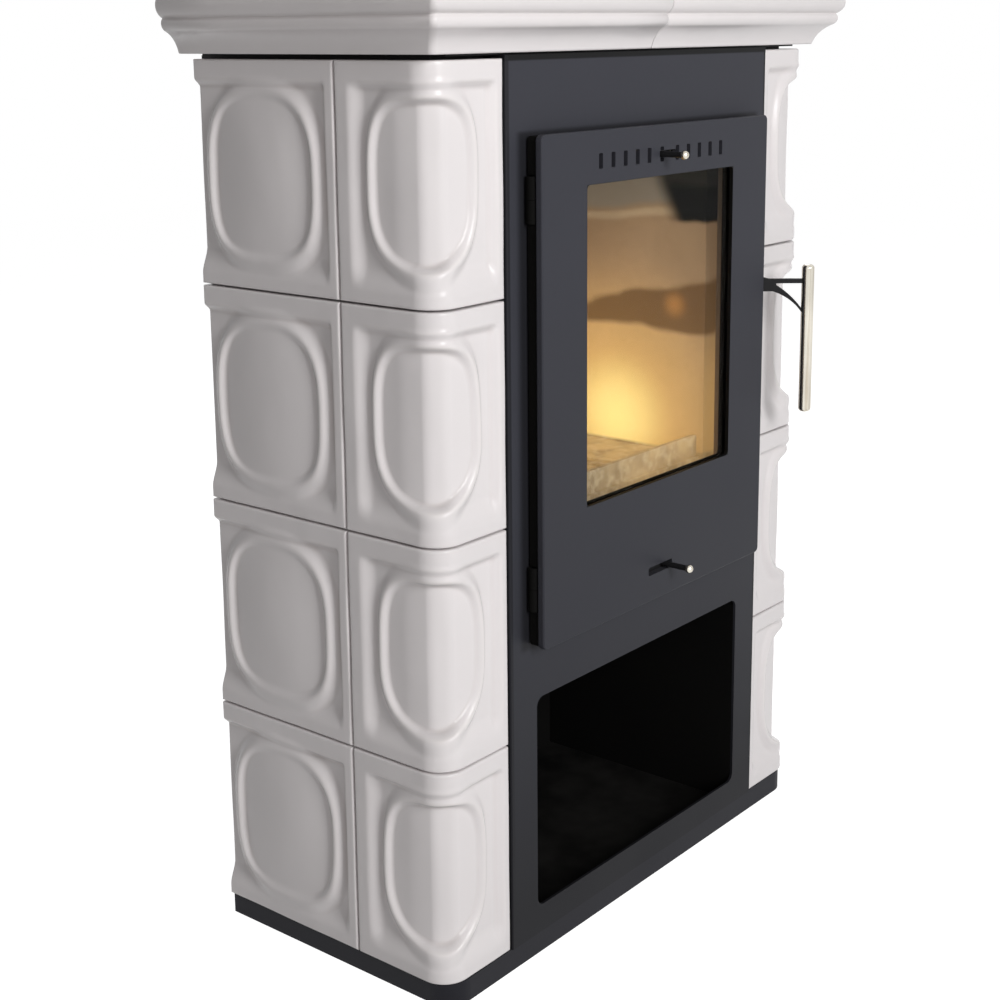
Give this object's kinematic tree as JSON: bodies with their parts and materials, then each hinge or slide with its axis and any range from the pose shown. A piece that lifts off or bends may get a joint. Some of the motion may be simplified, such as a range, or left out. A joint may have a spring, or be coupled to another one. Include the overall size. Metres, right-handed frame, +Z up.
{
  "type": "tiled wood stove",
  "caption": "Free-standing stove clad in white glazed relief tiles with a moulded cornice, a glazed fire door with a side handle and air levers, and an open wood store below.",
  "frame": {"origin": "centre of the plinth's underside (tile width by casing depth), on the floor", "axes": "+Z up; the front with the fire door faces -Y; +X to the right seen from the front"},
  "size_m": [0.7132, 0.413, 0.966],
  "materials": {
    "tile_glaze": "gloss glaze, warm white",
    "front_paint": "satin dark anthracite stove paint",
    "plinth_paint": "matt black",
    "black_steel": "matt black heat-proof paint",
    "lever_black": "satin black",
    "nickel": "polished nickel",
    "sheet_steel": "bare sheet steel",
    "cast_iron": "raw cast iron",
    "fire_board": "pressed vermiculite, matt",
    "door_glass": "clear heat-proof glass ceramic",
    "rope": "glass-fibre rope"
  },
  "bodies": {
    "stove": {"plinth": "plinth_paint", "front_panel": "front_paint", "cornice_left": "tile_glaze", "cornice_right": "tile_glaze", "cornice_support": "black_steel", "top_cover": "black_steel", "flue_collar": "black_steel", "casing_left": "black_steel", "casing_right": "black_steel", "rear_cover": "black_steel", "store_liner": "black_steel", "store_rear": "black_steel", "firebox_front": "black_steel", "firebox_left": "black_steel", "firebox_right": "black_steel", "firebox_rear": "black_steel", "firebox_top": "black_steel", "firebox_floor": "black_steel", "lining_left": "fire_board", "lining_right": "fire_board", "lining_rear": "fire_board", "lining_base": "fire_board", "baffle": "fire_board", "grate": "cast_iron", "log_guard": "cast_iron", "ash_pan": "sheet_steel", "air_duct": "sheet_steel", "hinge_brackets": "black_steel", "latch_keeper": "sheet_steel", "tile_left_1": "tile_glaze", "tile_right_1": "tile_glaze", "corner_left_1": "tile_glaze", "corner_right_1": "tile_glaze", "tile_left_2": "tile_glaze", "tile_right_2": "tile_glaze", "corner_left_2": "tile_glaze", "corner_right_2": "tile_glaze", "tile_left_3": "tile_glaze", "tile_right_3": "tile_glaze", "corner_left_3": "tile_glaze", "corner_right_3": "tile_glaze", "tile_left_4": "tile_glaze", "tile_right_4": "tile_glaze", "corner_left_4": "tile_glaze", "corner_right_4": "tile_glaze"},
    "door": {"door_slab": "front_paint", "door_inner_frame": "black_steel", "door_glass": "door_glass", "glass_gasket": "rope", "glass_clips": "sheet_steel", "door_rope": "rope", "door_hinges": "black_steel", "handle_bracket": "black_steel", "slide_guides": "sheet_steel"},
    "handle": {"handle_arm": "lever_black", "handle_grip": "nickel"},
    "upper_lever": {"upper_air_slide": "lever_black", "upper_air_knob": "nickel"},
    "lower_lever": {"lower_air_slide": "lever_black", "lower_air_knob": "nickel"}
  },
  "joints": [
    {"name": "door_hinge", "type": "hinge", "parent": "stove", "child": "door", "pos_m": [-0.1985, -0.169, 0.585], "axis": [0, 0, -1], "range_deg": [0, 100]},
    {"name": "handle_pivot", "type": "hinge", "parent": "door", "child": "handle", "pos_m": [0.197, -0.169, 0.646], "axis": [0, 0, 1], "range_deg": [0, 12]},
    {"name": "upper_air_slide", "type": "slide", "parent": "door", "child": "upper_lever", "axis": [1, 0, 0], "range_m": [0, 0.013]},
    {"name": "lower_air_slide", "type": "slide", "parent": "door", "child": "lower_lever", "axis": [-1, 0, 0], "range_m": [0, 0.028]}
  ]
}
